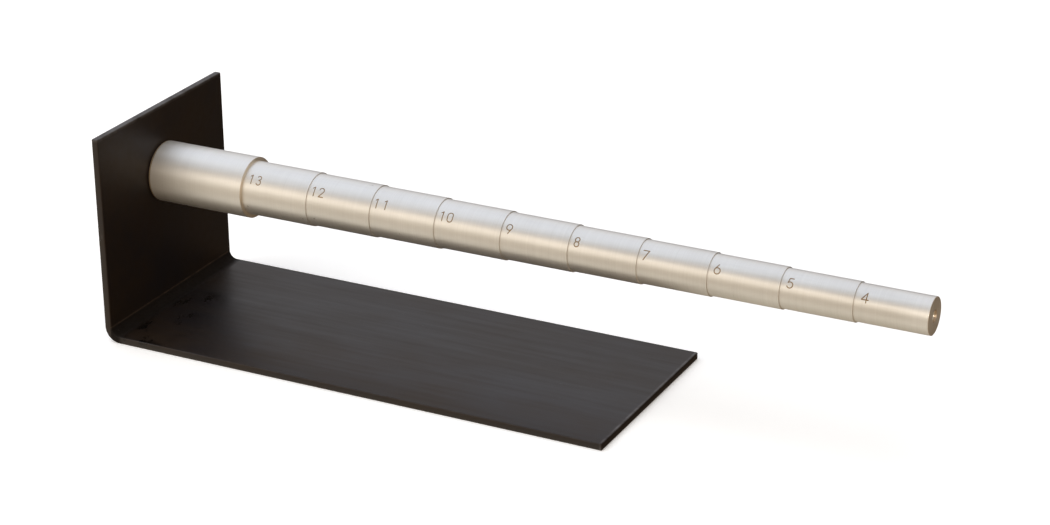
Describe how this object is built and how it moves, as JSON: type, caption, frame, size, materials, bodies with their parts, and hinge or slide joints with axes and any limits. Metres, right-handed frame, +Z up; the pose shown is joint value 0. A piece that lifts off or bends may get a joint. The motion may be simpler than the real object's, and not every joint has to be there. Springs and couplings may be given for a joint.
{
  "type": "ring mandrel",
  "caption": "Stepped cylindrical ring mandrel with a size marked on each step, screwed to the upright of a bent steel bench bracket and standing out level over its flat foot.",
  "frame": {"origin": "on the bench, under the middle of the whole object's length and width", "axes": "+X along the mandrel from the upright to the tip, +Z up, and the side that shows the size marks faces -Y"},
  "size_m": [0.3486, 0.091, 0.0889],
  "materials": {
    "black_steel": "blackened satin steel plate",
    "turned_aluminium": "satin, turned",
    "zinc_steel": "zinc plated",
    "spring_steel": "plain spring steel"
  },
  "bodies": {
    "root": {"bracket": "black_steel", "mandrel": "turned_aluminium", "mounting_screw": "zinc_steel", "flat_washer": "zinc_steel", "lock_washer": "spring_steel"}
  },
  "joints": []
}
